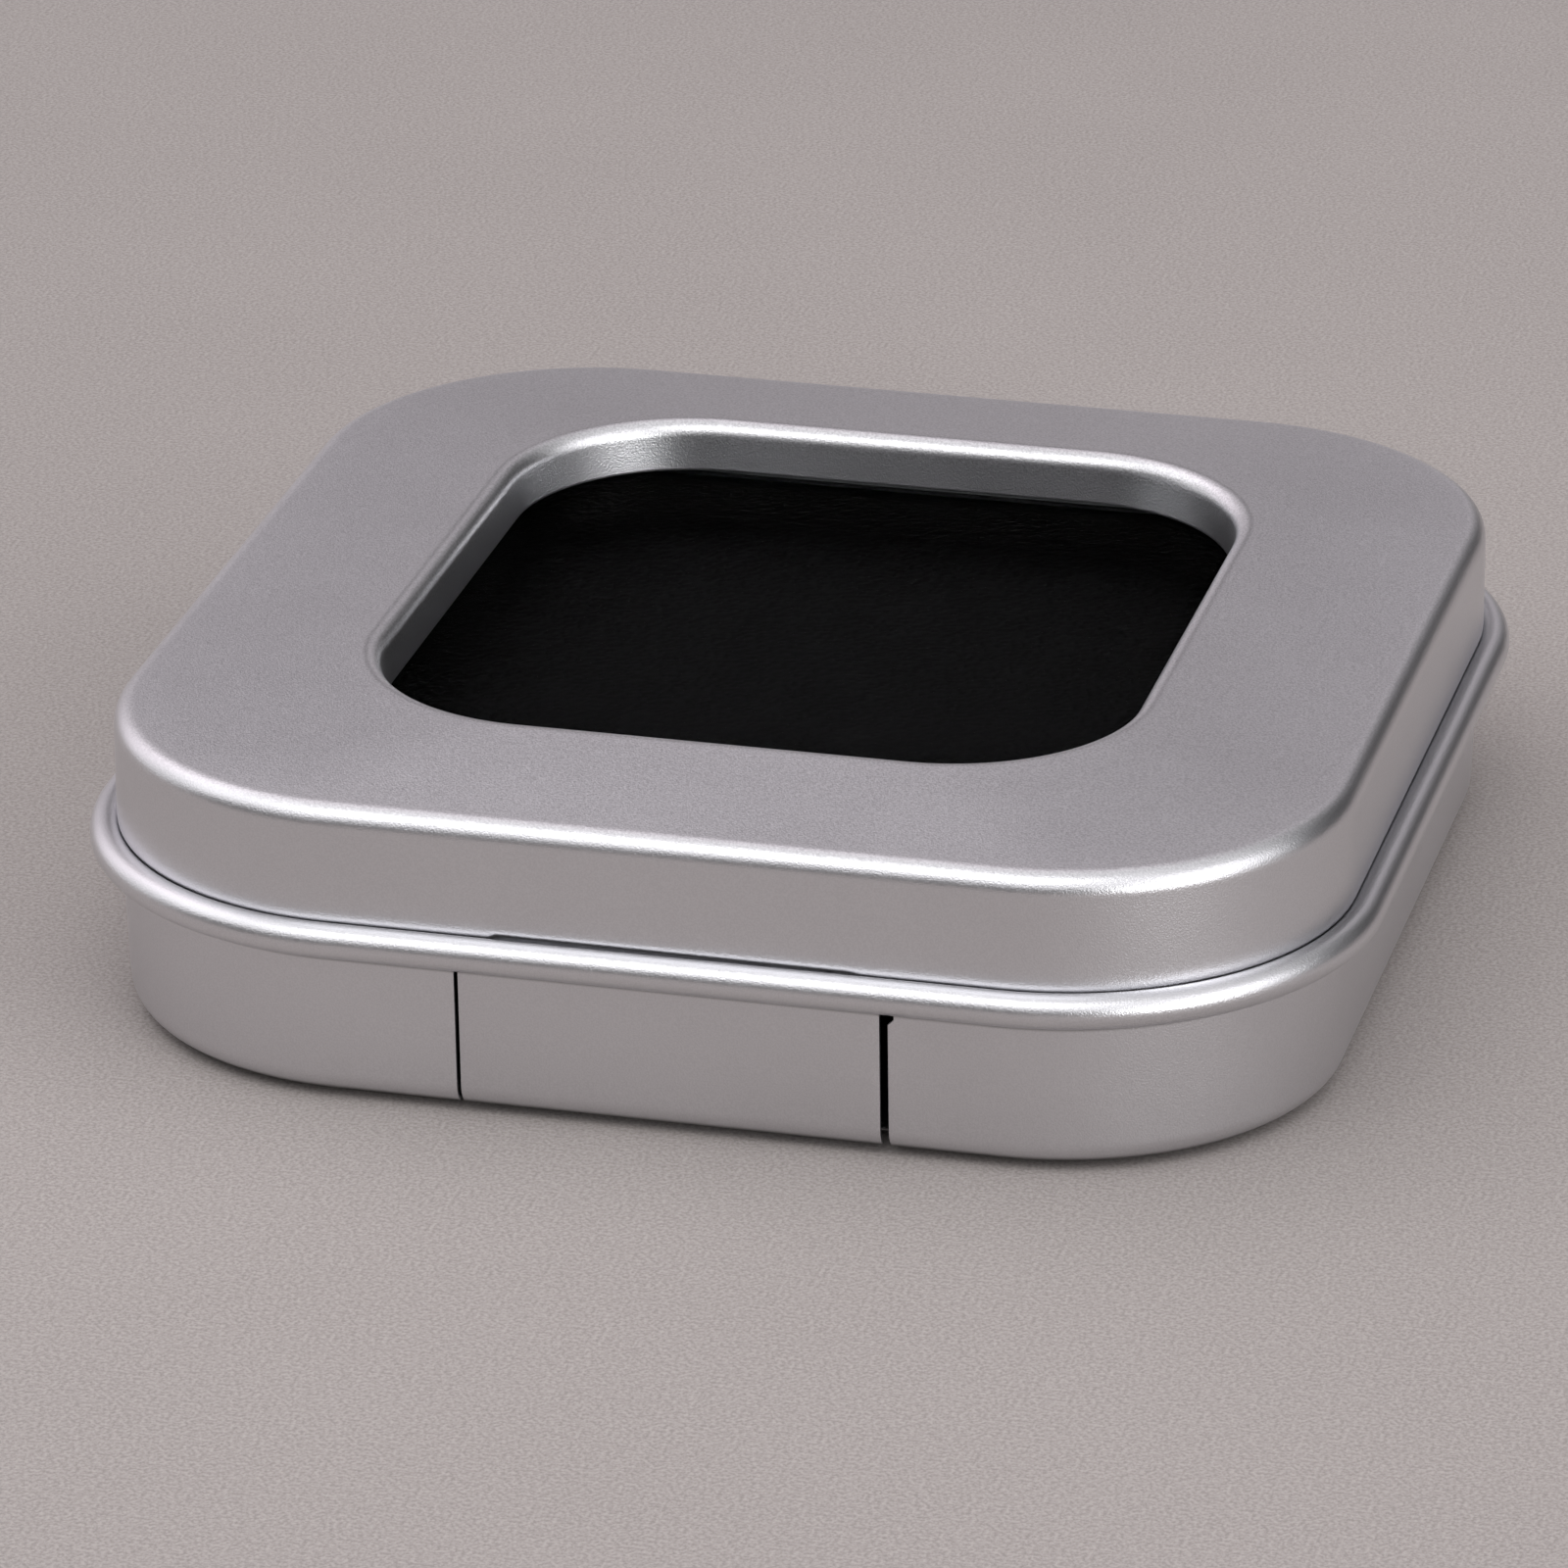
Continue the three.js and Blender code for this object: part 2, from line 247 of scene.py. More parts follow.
    def pick(self, where: Place, part: Part = Part.VERTICES, border: bool = False) -> None:
        """Select by place.

        Args:
            where: says if a vertex, or a face's middle, is wanted
            part: what is selected
            border: only vertices on an open border
        """
        bpy.ops.mesh.select_mode(type=part.value)
        bpy.ops.mesh.select_all(action="DESELECT")
        mesh = bmesh.from_edit_mesh(self.item.data)
        if part is Part.FACES:
            chosen = [f for f in mesh.faces if where(f.calc_center_median())]
        else:
            chosen = [v for v in mesh.verts if where(v.co) and (v.is_boundary or not border)]
        for element in chosen:
            element.select = True
        mesh.select_flush_mode()
        bmesh.update_edit_mesh(self.item.data)

    def lift(self, height: float) -> None:
        """Raise what is selected."""
        bpy.ops.transform.translate(value=(0, 0, height))

    def drop_faces(self, where: Place) -> None:
        """Delete the faces whose middles are where the test says."""
        self.pick(where, Part.FACES)
        bpy.ops.mesh.delete(type="FACE")

    def finish(self, modifiers: Sequence[Modifier], smooth: float = 40.0) -> bpy.types.Object:
        """Turn the faces outwards, apply modifiers and shade the piece.

        Args:
            modifiers: each one's type and settings, in order
            smooth: degrees up to which an edge is shaded round

        Returns:
            the finished piece
        """
        bpy.ops.mesh.select_all(action="SELECT")
        bpy.ops.mesh.remove_doubles(threshold=HAIR)
        bpy.ops.mesh.normals_make_consistent(inside=False)
        bpy.ops.object.mode_set(mode="OBJECT")
        for kind, settings in modifiers:
            modifier = self.item.modifiers.new(kind.title(), kind)
            for name, value in settings.items():
                setattr(modifier, name, value)
            bpy.ops.object.modifier_apply(modifier=modifier.name)
        bpy.ops.object.shade_smooth_by_angle(angle=math.radians(smooth))
        return self.item


class Value:
    """A number that changes over a surface: arithmetic on it adds Math nodes."""

    def __init__(self, sheet: "NodeSheet", socket: bpy.types.NodeSocket) -> None:
        """Wrap a socket of a node sheet."""
        self.sheet = sheet
        self.socket = socket

    def _math(self, operation: str, *terms: Any) -> "Value":
        """Add a Math node.

        Args:
            operation: the node's operation
            terms: its inputs in order

        Returns:
            its result
        """
        return self.sheet.value("Math", {"operation": operation}, dict(enumerate(terms)))

    def __add__(self, other: Any) -> "Value":
        """Sum."""
        return self._math("ADD", self, other)

    __radd__ = __add__

    def __sub__(self, other: Any) -> "Value":
        """Difference."""
        return self._math("SUBTRACT", self, other)

    def __rsub__(self, other: Any) -> "Value":
        """Difference from a number."""
        return self._math("SUBTRACT", other, self)

    def __mul__(self, other: Any) -> "Value":
        """Product."""
        return self._math("MULTIPLY", self, other)

    def over(self, low: float, high: float) -> "Value":
        """Smooth step.

        Args:
            low: where it is still 0
            high: where it reaches 1

        Returns:
            the step
        """
        settings = {"interpolation_type": "SMOOTHSTEP"}
        return self.sheet.value("MapRange", settings, {"Value": self, "From Min": low, "From Max": high})


class NodeSheet:
    """The node tree of one finish."""

    def __init__(self, tree: bpy.types.NodeTree) -> None:
        """Take over a tree and empty it."""
        self.tree = tree
        self.tree.nodes.clear()

    def node(self, kind: str, settings: dict[str, Any], feeds: dict[Any, Any]) -> bpy.types.Node:
        """Add a node.

        Args:
            kind: its type, without the ShaderNode prefix
            settings: properties, which are set first
            feeds: values or links of its sockets, by name or number

        Returns:
            the node
        """
        node = self.tree.nodes.new("ShaderNode" + kind)
        for name, setting in settings.items():
            setattr(node, name, setting)
        for name, feed in feeds.items():
            socket = node.inputs[name]
            if isinstance(feed, Value):
                self.tree.links.new(feed.socket, socket)
            elif isinstance(feed, bpy.types.NodeSocket):
                self.tree.links.new(feed, socket)
            else:
                socket.default_value = feed
        return node

    def value(self, kind: str, settings: dict[str, Any], feeds: dict[Any, Any], output: Any = 0) -> Value:
        """Add a node and take one of its results as a number.

        Args:
            kind: its type, without the ShaderNode prefix
            settings: properties
            feeds: values or links of its sockets
            output: which result

        Returns:
            the result
        """
        return Value(self, self.node(kind, settings, feeds).outputs[output])

    def coords(self) -> bpy.types.NodeSocket:
        """Object coordinates, in metres."""
        return self.node("TexCoord", {}, {}).outputs["Object"]

    def noise(self, size: float, detail: float = 2.0, roughness: float = 0.5) -> Value:
        """Cloudy noise on object coordinates.

        Args:
            size: how far apart its patches are
            detail: octaves
            roughness: share of the finer octaves

        Returns:
            a number round 0.5
        """
        feeds = {"Vector": self.coords(), "Scale": 1 / size, "Detail": detail, "Roughness": roughness}
        return self.value("TexNoise", {}, feeds)

    def mix(self, share: Value, low: Tint, high: Tint) -> bpy.types.NodeSocket:
        """Blend two colours, each of which may change over the surface.

        Args:
            share: how much of the second
            low: the first
            high: the second

        Returns:
            the blend
        """
        first, second = ((*tint, 1.0) if isinstance(tint, tuple) else tint for tint in (low, high))
        return self.node("Mix", {"data_type": "RGBA"}, {0: share, 6: first, 7: second}).outputs[2]

    def bump(self, height: Value, depth: float) -> bpy.types.NodeSocket:
        """Turn a height into a normal.

        Args:
            height: the height
            depth: how many metres one unit of it is

        Returns:
            the normal
        """
        return self.node("Bump", {}, {"Height": height, "Distance": depth}).outputs["Normal"]

    def surface(self, feeds: dict[str, Any]) -> None:
        """End in a Principled shader with these sockets."""
        shader = self.node("BsdfPrincipled", {}, feeds)
        self.node("OutputMaterial", {}, {"Surface": shader.outputs["BSDF"]})


def new_finish(name: str) -> tuple[bpy.types.Material, NodeSheet]:
    """Make an empty material.

    Args:
        name: its name

    Returns:
        the material and its node sheet
    """
    material = bpy.data.materials.new(name)
    material.use_nodes = True
    return material, NodeSheet(material.node_tree)


@dataclass(frozen=True)
class SatinTin:
    """Tinplate with a fine frosted grain that breaks its highlights into sparkle, with painted sparkle on
    the top panel and painted shade under the bead and at the foot.
    """

    pale: Colour = (0.74, 0.74, 0.763)
    deep: Colour = (0.65, 0.65, 0.672)
    # the dark colour of the painted shade under the bead and at the foot, and of the painted sparkle's dark
    # specks
    painted_dark: Colour = (0.24, 0.235, 0.235)
    # the bright colour of the painted sparkle's glints on the top panel
    painted_glint: Colour = (0.98, 0.98, 0.99)
    # painted shade: a dark band round the crease under the bead, where the bead's roll shades the wall
    crease: Step = (10.45 * MM, 10.8 * MM)
    crease_top: float = 11.5 * MM
    # painted shade: a dark band on the lower rounding at the foot, standing in for the contact shadow under
    # the case
    foot: Step = (1.15 * MM, 0.6 * MM)
    foot_under: Step = (0.3 * MM, 0.36 * MM)
    roughness: float = 0.32
    roughness_change: float = 0.06
    grain: float = 0.12 * MM
    grain_step: Step = (0.3, 0.7)
    grain_share: float = 0.6
    grain_depth: float = 0.02 * MM
    ripple: float = 9 * MM
    ripple_depth: float = 0.012 * MM
    # painted sparkle on the top panel: bright and dark specks that stand in for glints off the frosted grain
    sparkle_grain: float = 0.17 * MM
    sparkle_level: Step = (21.0 * MM, 21.9 * MM)
    sparkle_share: float = 0.25

    def material(self) -> bpy.types.Material:
        """Build the material.

        Returns:
            the material
        """
        material, sheet = new_finish("satin_tin")
        grain = sheet.noise(self.grain, detail=1.0)
        cloud = sheet.noise(self.ripple)
        tone = grain.over(*self.grain_step) * self.grain_share + cloud * (1 - self.grain_share)
        level = sheet.value("SeparateXYZ", {}, {"Vector": sheet.coords()}, "Z")
        # painted sparkle: bright and dark specks on the top panel only, mixed into the tin's colour
        painted_sparkle = level.over(*self.sparkle_level) * self.sparkle_share
        speck = sheet.noise(self.sparkle_grain, detail=1.0, roughness=0.6).over(*self.grain_step)
        tin = sheet.mix(painted_sparkle * (1 - speck), sheet.mix(tone, self.deep, self.pale), self.painted_dark)
        tin = sheet.mix(painted_sparkle * speck, tin, self.painted_glint)
        # painted shade under the bead and at the foot, mixed in as the dark colour
        crease = level.over(*self.crease) * level.over(self.crease_top, self.crease_top - self.grain)
        painted_shade = crease + level.over(*self.foot) * level.over(*self.foot_under)
        height = grain * self.grain_depth + cloud * self.ripple_depth
        change = (grain + cloud - 1) * self.roughness_change
        sheet.surface({
            "Base Color": sheet.mix(painted_shade, tin, self.painted_dark),
            "Metallic": 1.0,
            "Roughness": self.roughness + change,
            "Normal": sheet.bump(height, 1.0),
        })
        return material


@dataclass(frozen=True)
class ClearSheet:
    """Clear coated plastic sheet that hardly mirrors, with a few faint specks."""

    tint: Colour = (0.93, 0.94, 0.94)
    refraction: float = 1.012
    roughness: float = 0.015
    speck_size: float = 1.6 * MM
    speck_step: Step = (0.68, 0.76)
    speck_roughness: float = 0.1

    def material(self) -> bpy.types.Material:
        """Build the material.

        Returns:
            the material
        """
        material, sheet = new_finish("clear_sheet")
        specks = sheet.noise(self.speck_size, detail=4.0, roughness=0.7).over(*self.speck_step)
        sheet.surface({
            "Base Color": (*self.tint, 1.0),
            "Roughness": self.roughness + specks * self.speck_roughness,
            "IOR": self.refraction,
            "Transmission Weight": 1.0,
        })
        return material


@dataclass(frozen=True)
class FoamTape:
    """Thin black adhesive foam tape."""

    dark: Colour = (0.008, 0.008, 0.009)
    light: Colour = (0.03, 0.03, 0.032)
    roughness: float = 0.75
    cell: float = 0.25 * MM
    cell_step: Step = (0.35, 0.7)
    cell_depth: float = 0.03 * MM
    cell_roughness: float = 0.2

    def material(self) -> bpy.types.Material:
        """Build the material.

        Returns:
            the material
        """
        material, sheet = new_finish("foam_tape")
        cells = sheet.noise(self.cell, detail=3.0)
        sheet.surface({
            "Base Color": sheet.mix(cells.over(*self.cell_step), self.dark, self.light),
            "Roughness": self.roughness + cells * self.cell_roughness,
            "Normal": sheet.bump(cells, self.cell_depth),
        })
        return material


@dataclass(frozen=True)
class BlackFoam:
    """Fine open-cell black foam."""

    pit: Colour = (0.0015, 0.0015, 0.0016)
    wall: Colour = (0.005, 0.005, 0.0053)
    roughness: float = 0.85
    specular: float = 0.05
    cell: float = 0.55 * MM
    cell_step: Step = (0.1, 0.75)
    cell_share: float = 0.7
    fuzz: float = 0.2 * MM
    fuzz_roughness: float = 0.15
    depth: float = 0.12 * MM

    def material(self) -> bpy.types.Material:
        """Build the material.

        Returns:
            the material
        """
        material, sheet = new_finish("black_foam")
        feeds = {"Vector": sheet.coords(), "Scale": 1 / self.cell}
        cells = sheet.value("TexVoronoi", {"feature": "SMOOTH_F1"}, feeds, "Distance").over(*self.cell_step)
        fuzz = sheet.noise(self.fuzz)
        height = cells * self.cell_share + fuzz * (1 - self.cell_share)
        sheet.surface({
            "Base Color": sheet.mix(height, self.pit, self.wall),
            "Roughness": self.roughness + fuzz * self.fuzz_roughness,
            "Specular IOR Level": self.specular,
            "Normal": sheet.bump(height, self.depth),
        })
        return material


@dataclass(frozen=True)
class PaperFloor:
    """Plain pale card with a short fibre grain."""

    pale: Colour = (0.455, 0.418, 0.404)
    deep: Colour = (0.279, 0.254, 0.244)
    roughness: float = 0.9
    specular: float = 0.2
    fibre: float = 0.28 * MM
    fibre_step: Step = (0.3, 0.7)
    fibre_share: float = 0.85
    fibre_depth: float = 0.05 * MM
    cloud: float = 30 * MM

    def material(self) -> bpy.types.Material:
        """Build the material.

        Returns:
            the material
        """
        material, sheet = new_finish("paper_floor")
        fibre = sheet.noise(self.fibre, detail=4.0, roughness=0.65)
        cloud = sheet.noise(self.cloud)
        tone = fibre.over(*self.fibre_step) * self.fibre_share + cloud * (1 - self.fibre_share)
        sheet.surface({
            "Base Color": sheet.mix(tone, self.deep, self.pale),
            "Roughness": self.roughness,
            "Specular IOR Level": self.specular,
            "Normal": sheet.bump(fibre, self.fibre_depth),
        })
        return material


@dataclass(frozen=True)
class TinLines:
    """The lines that the two pressed shells share, measured from the middle of a side."""

    sheet: float = 0.3 * MM
    corner_radius: float = 20.0 * MM
    bead_diameter: float = 2.4 * MM
    wall_inset: float = 0.2 * MM
    wall_draft: float = 0.4 * MM
    bottom_radius: float = 1.8 * MM
    stand_rise: float = 0.4 * MM
    corner_steps: int = 28
    support: float = 0.2 * MM
    raw_edge: float = 0.07 * MM
    lid_half: float = field(default_factory=lambda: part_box("lid_shell")[1].x)
    rim_height: float = field(default_factory=lambda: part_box("lid_shell")[1].z - HAIR)
    hinge: Vector = field(default_factory=lambda: Vector(frame["joints"][0]["pos_m"]))

    @property
    def corner_centre(self) -> Vector:
        """The centre that the +X +Y corners share."""
        away = self.lid_half - self.corner_radius
        return Vector((away, away, 0))

    @property
    def bead_radius(self) -> float:
        """Outer radius of the rolled bead."""
        return self.bead_diameter / 2

    @property
    def wall_inner(self) -> float:
        """Inner face of the base wall at the bead."""
        return self.lid_half - self.wall_inset - self.sheet

    @property
    def wall_top(self) -> float:
        """Middle of the base wall's sheet at the bead."""
        return self.wall_inner + self.sheet / 2

    @property
    def wall_foot(self) -> float:
        """Middle of the base wall's sheet at its foot."""
        return self.wall_top - self.wall_draft

    @property
    def foot_centre(self) -> Vector:
        """Centre of the lower rounding in the section."""
        line = self.wall_foot + self.sheet / 2 - self.bottom_radius
        return Vector((0, line, self.stand_rise + self.bottom_radius))

    def sheet_modifiers(self) -> list[Modifier]:
        """Modifiers that give a drawn surface its sheet thickness and ease its raw edges."""
        thick = {"thickness": self.sheet, "offset": 0.0, "use_even_offset": True}
        return [("SOLIDIFY", thick), eased(self.raw_edge)]


@dataclass(frozen=True)
class HingeSizes:
    """The flap, the slits beside it and the raised stretch of the skirt above it."""

    offset: float = -0.5 * MM
    flap_width: float = 28.9 * MM
    flap_inset: float = 0.05 * MM
    flap_curl: float = math.radians(60)
    step_angle: float = math.radians(60)
    clearance: float = 0.07 * MM
    slit_narrow: float = 0.25 * MM
    slit_wide: float = 0.55 * MM
    relief: float = 0.4 * MM
    relief_height: float = 9.95 * MM
    bridge_tail: float = 0.3 * MM
    cut_reach: float = 1.5 * MM
    notch_right: float = 11.85 * MM
    notch_left: float = -14.05 * MM
    notch_ease_right: float = 0.7 * MM
    notch_ease_left: float = 1.4 * MM
    notch_rise_right: float = 0.26 * MM
    notch_rise_left: float = 0.14 * MM
    notch_steps: int = 5

    @property
    def flap_right(self) -> float:
        """The flap's edge on the +X side."""
        return self.offset + self.flap_width / 2

    @property
    def flap_left(self) -> float:
        """The flap's edge on the -X side."""
        return self.offset - self.flap_width / 2

    def notch_lifts(self) -> list[tuple[float, float]]:
        """How far the skirt's lower edge is raised along the notch.

        Returns:
            x and lift of each line, from +X to -X
        """
        shares = [step / self.notch_steps for step in range(1, self.notch_steps + 1)]
        lifts = []
        for share in shares:
            rise = share * share * (3 - 2 * share)
            lifts.append((self.notch_right - share * self.notch_ease_right, rise * self.notch_rise_right))
        for share in reversed(shares):
            rise = share * share * (3 - 2 * share)
            lifts.append((self.notch_left + share * self.notch_ease_left, rise * self.notch_rise_left))
        return lifts


class Piece:
    """A piece of the case: the CAD node it stands for, the body it rides on and its material slot."""

    node: ClassVar[str]
    body: ClassVar[Body]
    slot: ClassVar[Slot]

    def build(self) -> bpy.types.Object:
        """Model the piece."""
        raise NotImplementedError

    def dress(self, piece: bpy.types.Object, material: bpy.types.Material) -> bpy.types.Object:
        """Give the finished piece its material and let it stand for its CAD node.

        Args:
            piece: the finished piece
            material: its finish

        Returns:
            the same piece
        """
        piece.data.materials.clear()
        piece.data.materials.append(material)
        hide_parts(self.node)
        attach(piece, self.body.value)
        LOG.info("%s: %d faces on %s", piece.name, len(piece.data.polygons), self.body.value)
        return piece


@dataclass
class BaseTray(Piece):
    """Drawn tray: floor, walls, the rim rolled into a bead, and the cut-out that the flap fills."""

    node: ClassVar[str] = "base_tray"
    body: ClassVar[Body] = Body.BASE
    slot: ClassVar[Slot] = Slot.TINPLATE

    lines: TinLines
    hinge: HingeSizes
    stand_margin: float = 3.0 * MM
    bead_curl: float = math.radians(300)
    bottom_steps: int = 14
    bead_steps: int = 48

    def build(self) -> bpy.types.Object:
        """Model the tray.

        Returns:
            the finished piece
        """
        lines, hinge = self.lines, self.hinge
        bead_line, bead_height = lines.hinge.y, lines.hinge.z
        foot = lines.foot_centre
        floor_z = lines.sheet / 2 + HAIR
        stand_half = foot.y - self.stand_margin
        cut_line = foot.y - hinge.cut_reach
        bench = Bench("base_tray_tin")
        bench.start(Vector((lines.corner_centre.x, stand_half, floor_z)))
        bench.line_to(stand_half + lines.stand_rise, floor_z + lines.stand_rise)
        bench.line_to(cut_line, floor_z + lines.stand_rise)
        bench.line_to(foot.y, floor_z + lines.stand_rise)
        lean = math.atan2(lines.wall_draft, bead_height - foot.z)
        bench.arc(foot.y, foot.z, QUARTER - lean, self.bottom_steps)
        wall = bench.pen.copy()
        slope = (lines.wall_top - wall.y) / (bead_height - wall.z)
        cut_top = bead_height - hinge.bridge_tail
        relief_top = hinge.relief_height + hinge.relief
        for z in (wall.z + lines.support, hinge.relief_height, relief_top, cut_top, bead_height):
            bench.line_to(wall.y + (z - wall.z) * slope, z)
        bench.arc(bead_line, bead_height, -self.bead_curl, self.bead_steps)

        right = hinge.flap_right + hinge.slit_narrow
        left = hinge.flap_left - hinge.slit_wide
        bench.carry_round(lines.corner_centre, [right, left, left - hinge.relief], lines.corner_steps)
        self._cut_out(bench, cut_line, cut_top, right, left)
        self._close_floor(bench, floor_z)
        return bench.finish(lines.sheet_modifiers())

    def _cut_out(self, bench: Bench, inner: float, top: float, right: float, left: float) -> None:
        """Open the rear wall for the flap, with a relief at the top of the wide slit.

        Args:
            bench: the tray on the bench
            inner: how far the opening reaches into the floor
            top: upper end of the opening
            right: its edge on the +X side
            left: its edge on the -X side
        """
        wall = self.lines.wall_top + HAIR
        foot, head = self.hinge.relief_height, self.hinge.relief_height + self.hinge.relief
        far = left - self.hinge.relief

        def in_opening(low: float, high: float, above: float) -> Place:
            """Test for wall faces between two edges, above a height."""
            return lambda p: low < p.x < high and inner < p.y < wall and above < p.z < top

        bench.drop_faces(in_opening(left, right, 0.0))
        bench.drop_faces(in_opening(far, left, head))
        bench.pick(
            lambda p: abs(p.x - left) < HAIR and abs(p.z - foot) < HAIR and inner < p.y < wall
            or abs(p.x - far) < HAIR and abs(p.z - head) < HAIR and inner < p.y < wall
        )
        bpy.ops.mesh.vert_connect_path()
        corner = in_opening(far, left, foot)
        bench.drop_faces(lambda p: corner(p) and p.z < head and left - p.x < p.z - foot)

    def _close_floor(self, bench: Bench, floor_z: float) -> None:
        """Fill the floor inside the lower rounding.

        Args:
            bench: the tray on the bench
            floor_z: height of the floor's middle line
        """
        bench.pick(lambda p: abs(p.z - floor_z) < HAIR)
        bpy.ops.mesh.edge_face_add()
        bpy.ops.mesh.select_mode(type="FACE")
        bpy.ops.mesh.inset(thickness=self.lines.support)


@dataclass
class LidShell(Piece):
    """Drawn lid: window lip, crowned top panel, skirt, stepped-in plug and hinge flap in one sheet."""

    node: ClassVar[str] = "lid_shell"
    body: ClassVar[Body] = Body.LID
    slot: ClassVar[Slot] = Slot.TINPLATE

    lines: TinLines
    hinge: HingeSizes
    crown: float = 1.4 * MM
    edge_radius: float = 1.5 * MM
    window_width: float = 52.8 * MM
    window_length: float = 57 * MM
    window_corner: float = 12.9 * MM
    lip_radius: float = 1.2 * MM
    lip_depth: float = 3.58 * MM
    lip_lean: float = math.radians(7)
    plug_clearance: float = 0.25 * MM
    plug_setback: float = 0.1 * MM
    bend_steps: int = 16
    panel_cuts: int = 4

    @property
    def edge_height(self) -> float:
        """Height of the top panel at its outer edge."""
        return self.lines.rim_height - self.crown

    @property
    def lip_bend(self) -> float:
        """Radius of the lip's bend in the middle of the sheet."""
        return self.lip_radius - self.lines.sheet / 2

    @property
    def lip_centre(self) -> Vector:
        """Centre of the lip's bend in the section."""
        return Vector((0, self.window_length / 2 + self.lip_radius, self.lines.rim_height - self.lip_radius))

    @property
    def edge_bend(self) -> float:
        """Radius of the outer edge's bend in the middle of the sheet."""
        return self.edge_radius - self.lines.sheet / 2

    @property
    def edge_centre(self) -> Vector:
        """Centre of the outer edge's bend in the section."""
        return Vector((0, self.lines.lid_half - self.edge_radius, self.edge_height - self.edge_radius))

    @property
    def tilt(self) -> float:
        """Slope of the top panel, which runs tangent to both bends."""
        reach = self.edge_centre - self.lip_centre
        return math.asin((self.lip_bend - self.edge_bend) / reach.length) + math.atan2(-reach.z, reach.y)

    @property
    def plug_line(self) -> float:
        """Middle of the plug's sheet."""
        return self.lines.wall_inner - self.plug_clearance - self.lines.sheet / 2

    @property
    def skirt_line(self) -> float:
        """Middle of the skirt's sheet."""
        return self.lines.lid_half - self.lines.sheet / 2

    def _clear_height(self, line: float, radius: float) -> float:
        """Height above the bead's centre at which a bend just clears the bead.

        Args:
            line: the bend's centre
            radius: the bend's radius on the bead's side

        Returns:
            the height
        """
        reach = self.lines.bead_radius + self.hinge.clearance + radius
        return math.sqrt(reach ** 2 - (self.lines.hinge.y - line) ** 2)

    def build(self) -> bpy.types.Object:
        """Model the lid.

        Returns:
            the finished piece
        """
        lines, hinge = self.lines, self.hinge
        half_sheet = lines.sheet / 2
        bead_height = lines.hinge.z
        lip, edge, tilt = self.lip_centre, self.edge_centre, self.tilt
        outwards = Vector((0, math.cos(tilt), -math.sin(tilt)))
        upwards = Vector((0, math.sin(tilt), math.cos(tilt)))

        shoulder = (self.skirt_line - self.plug_line) / 2
        shoulder_top = bead_height + self._clear_height(self.skirt_line - shoulder, shoulder + half_sheet)
        shoulder_foot = shoulder_top - 2 * shoulder
        flap_line = lines.wall_top - hinge.flap_inset
        step_bend = (flap_line - self.plug_line) / 2 / (1 - math.cos(hinge.step_angle))
        step_foot = bead_height - self._clear_height(flap_line - step_bend, step_bend + half_sheet)
        step_top = step_foot + 2 * step_bend * math.sin(hinge.step_angle)
        plug_end = step_top + self.plug_setback

        notch_lines = [x for x, _ in hinge.notch_lifts()]
        stations = sorted({hinge.flap_right, hinge.flap_left, *notch_lines}, reverse=True)
        bench = Bench("lid_shell_tin")
        outer = edge + self.edge_bend * upwards - lines.support * outwards
        bench.start(Vector((lines.corner_centre.x, outer.y, outer.z)))
        bench.run(lines.support * outwards)
        bench.arc(edge.y, edge.z, tilt - QUARTER, self.bend_steps)
        bench.line_to(self.skirt_line, shoulder_top, lines.support)
        bench.arc(self.skirt_line - shoulder, shoulder_top, -QUARTER, self.bend_steps // 2)
        bench.arc(self.plug_line + shoulder, shoulder_foot, QUARTER, self.bend_steps // 2)
        bench.line_to(self.plug_line, plug_end)
        bench.carry_round(lines.corner_centre, stations, lines.corner_steps)

        window_half = Vector((self.window_width / 2, self.window_length / 2, 0))
        window_centre = window_half - self.window_corner * Vector((1, 1, 0))
        lean = Vector((0, math.cos(self.lip_lean), -math.sin(self.lip_lean)))
        wall_top = lip - self.lip_bend * lean
        wall = wall_top.z - lines.rim_height + self.lip_depth
        wall_foot = wall_top.y - wall * math.tan(self.lip_lean)
        bench.start(Vector((window_centre.x, wall_foot, wall_top.z - wall)))
        bench.line_to(wall_top.y, wall_top.z, lines.support)
        bench.arc(lip.y, lip.z, self.lip_lean - QUARTER - tilt, self.bend_steps)
        bench.run(lines.support * outwards)
        narrowing = window_centre.x / lines.corner_centre.x
        bench.carry_round(window_centre, [x * narrowing for x in stations], lines.corner_steps)

        bench.pick(lambda p: p.z > lines.rim_height - self.lip_depth + HAIR, border=True)
        bpy.ops.mesh.bridge_edge_loops(number_cuts=self.panel_cuts, interpolation="LINEAR")
        self._raise_notch(bench, shoulder_foot, shoulder_top)
        self._draw_flap(bench, plug_end, step_top, step_foot, step_bend, flap_line)
        return bench.finish(lines.sheet_modifiers())

    def _raise_notch(self, bench: Bench, foot: float, top: float) -> None:
        """Raise the skirt's lower edge along the hinge.

        Args:
            bench: the lid on the bench
            foot: lower end of the shoulder
            top: upper end of the shoulder
        """
        above = top + self.lines.support + HAIR
        for x, lift in self.hinge.notch_lifts():
            bench.pick(lambda p: abs(p.x - x) < HAIR and p.y > 0 and foot - HAIR < p.z < above)
            bench.lift(lift)

